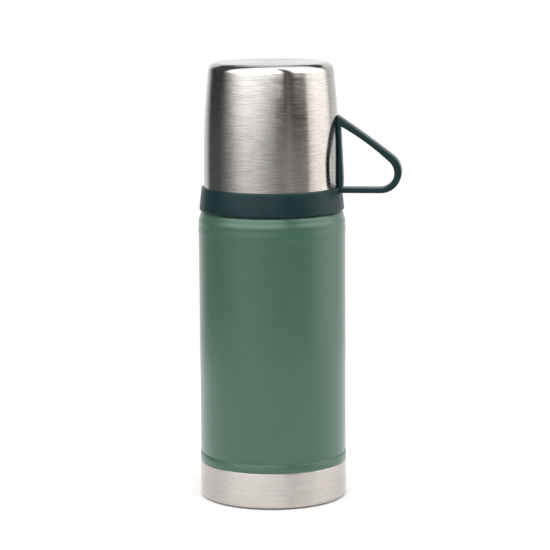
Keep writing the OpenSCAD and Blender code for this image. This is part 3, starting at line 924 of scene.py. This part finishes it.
# The studio that glossy surfaces reflect, as (azimuth, tone, warmth) stops: 0 is the front, 90 the handle's
# side. nearHorizon is the card table's edge, aboveIt the soft boxes and flags, overhead the top box.
nearHorizon = [
    (-180, 0.98, -0.6), (-168, 0.95, -0.4), (-160, 0.93, -0.2), (-144, 0.82, 0), (-136, 0.48, 0),
    (-129, 0.12, 0), (-100, 0.11, 0.4), (-84, 0.22, 0), (-70, 0.42, 0), (-58, 0.74, 0), (-46, 0.88, 0),
    (-28, 0.82, 0), (-12, 0.6, 0), (0, 0.46, 0), (15, 0.36, 0.4), (30, 0.44, 1.4), (45, 0.34, 0.8),
    (64, 0.4, 0.8), (70, 1.05, 1), (82, 1.5, 1), (105, 1.6, 1), (119, 1.15, 0.6), (124, 0.7, 0),
    (130, 0.85, 0), (168, 0.95, -0.3), (180, 0.98, -0.6)]
aboveIt = [
    (-180, 0.98, -0.6), (-168, 0.92, -0.3), (-156, 0.85, -0.2), (-149, 0.62, 0), (-140, 0.18, 0),
    (-132, 0.035, 0), (-104, 0.06, 0.8), (-93, 0.13, 0), (-84, 0.33, 0), (-73, 0.76, 0), (-60, 1.36, 0),
    (-45, 1.65, 0), (-25, 1.4, 0), (-8, 0.9, 0), (3, 0.54, 0), (12, 0.16, 0.7), (21, 0.09, 1),
    (27, 0.11, 1.4), (30, 0.26, 3), (35, 0.11, 1.6), (42, 0.05, 1), (55, 0.06, 1), (63, 0.26, 1),
    (69, 1.3, 0.9), (84, 1.9, 0.9), (112, 1.85, 0.7), (119, 1.3, 0.3), (124, 0.75, 0), (129, 0.75, 0),
    (150, 0.85, 0), (168, 0.92, -0.3), (180, 0.98, -0.6)]
overhead = [
    (-180, 1.1, -0.5), (-152, 0.9, 0), (-143, 0.1, 0), (-98, 0.07, 0.8), (-88, 2.0, 0), (-72, 3.6, 0),
    (18, 3.4, 0), (25, 0.14, 1), (31, 0.14, 2), (38, 0.14, 1.4), (47, 2.6, 0.2), (60, 3.2, 0.2),
    (112, 3.2, 0.3), (121, 0.9, 0), (126, 0.3, 0), (132, 0.9, 0), (180, 1.1, -0.5)]


def band(s, azimuth, tones):
    stops = []
    for place, tone, warm in tones:
        level = tone / toneScale
        stops.append((place / 360 + 0.5, (level, level * (1 - 0.045 * warm), level * (1 - 0.1 * warm), 1)))
    return s.node("ShaderNodeValToRGB", {"stops": stops}, {"Fac": azimuth})


def makeLamp():
    clearSelection()
    bpy.ops.object.light_add(type="AREA", location=lampForm["at"])
    lamp = bpy.context.active_object
    lamp.name = "topBox"
    lamp.data.shape = "RECTANGLE"
    lamp.data.size = lampForm["size"]
    lamp.data.size_y = lampForm["size"]
    lamp.data.energy = lampForm["power"]
    lamp.data.color = (1, 1, 1)
    lamp.visible_glossy = False             # the studio above stands for it in reflections
    dx, dy, dz = [-p for p in lampForm["at"]]
    lamp.rotation_euler = (math.atan2(math.hypot(dx, dy), -dz), 0, math.atan2(dy, dx) - math.pi / 2)


def makeLight():
    world = bpy.data.worlds.new("studio")
    bpy.context.scene.world = world
    s = Shader(world)
    x, y, z = s.split(s.node("ShaderNodeTexCoord", {}, {}, "Generated"))
    azimuth = s.maths("ARCTAN2", x, -1 * y) * (0.5 / math.pi) + 0.5
    low = band(s, azimuth, nearHorizon)
    mid = band(s, azimuth, aboveIt)
    top = band(s, azimuth, overhead)
    walls = s.tint(s.spread(z, -0.11, 0.06), low, mid)
    room = s.tint(s.spread(z, 0.1, 0.36), walls, top)
    # a dark gap behind the top box, up to where the ceiling is light again
    behind = s.spread(y, 0.34, 0.44) * s.spread(z, 0.44, 0.56) * s.spread(z, 0.68, 0.8, 1, 0)
    room = s.tint(behind, room, studio["gap"])
    rays = s.node("ShaderNodeLightPath", {}, {}, None)
    seen = Wire(s, rays.outputs["Is Camera Ray"])
    glossy = Wire(s, rays.outputs["Is Glossy Ray"])
    level = s.tint(s.spread(z * z, 0.01, 0.2), studio["horizon"], studio["ambient"])
    ambient = s.node("ShaderNodeBackground", {}, {"Color": level, "Strength": 1.0})
    mirrored = s.node("ShaderNodeBackground", {}, {"Color": room, "Strength": float(toneScale)})
    white = s.node("ShaderNodeBackground", {}, {"Color": (1, 1, 1, 1), "Strength": 1.0})
    lit = s.node("ShaderNodeMixShader", {}, {0: glossy, 1: ambient, 2: mirrored})
    shown = s.node("ShaderNodeMixShader", {}, {0: seen, 1: lit, 2: white})
    s.node("ShaderNodeOutputWorld", {}, {"Surface": shown}, None)
    makeLamp()


def makeCamera():
    bpy.ops.object.camera_add(location=(studio["cameraX"], -studio["distance"], studio["height"]))
    eye = bpy.context.active_object
    eye.rotation_mode = "XYZ"
    eye.rotation_euler = (math.radians(90 - studio["tilt"]), 0, 0)
    eye.rotation_euler.rotate_axis("Z", math.radians(studio["roll"]))
    eye.data.sensor_width = 36
    eye.data.lens = studio["lens"]
    bpy.context.scene.camera = eye


makeStage()
makeLight()
makeCamera()
bpy.context.scene.view_settings.view_transform = "Standard"
print("stage, lights and camera set")
